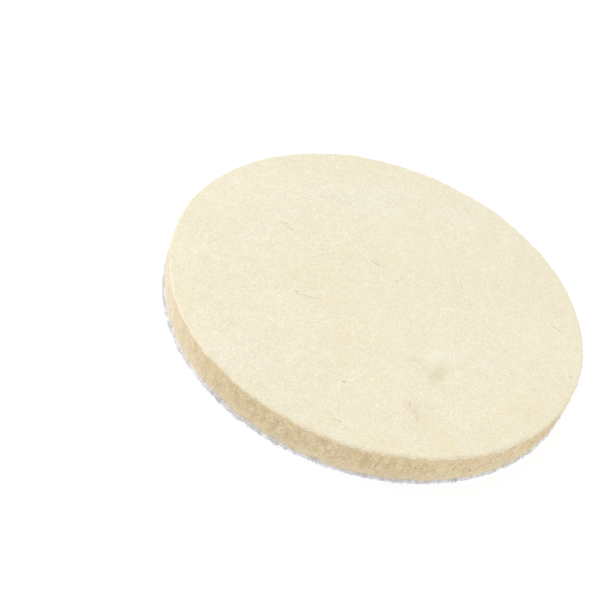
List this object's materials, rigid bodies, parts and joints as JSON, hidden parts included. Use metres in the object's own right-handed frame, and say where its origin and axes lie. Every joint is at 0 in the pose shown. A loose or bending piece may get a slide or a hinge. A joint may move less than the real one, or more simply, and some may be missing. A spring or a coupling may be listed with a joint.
{
  "type": "felt polishing wheel",
  "caption": "Round pressed wool felt polishing pad on a hook-and-loop backing, for buffing stone and glass on a spinning backing plate.",
  "frame": {"origin": "centre of the loop pile's contact face, where the wheel sits on its backing plate", "axes": "+Z along the spin axis, out of the felt's working face; X and Y lie in the contact face"},
  "size_m": [0.1256, 0.1256, 0.0117],
  "materials": {
    "wool_felt": "matt pressed wool felt, cream face and tan cut wall",
    "hot_melt_film": "satin translucent glue film",
    "knit_cloth": "matt white knitted polyester",
    "loop_pile": "soft white looped pile"
  },
  "bodies": {
    "root": {"felt_disc": "wool_felt", "adhesive_film": "hot_melt_film", "loop_ground_cloth": "knit_cloth", "loop_pile": "loop_pile"}
  },
  "joints": []
}
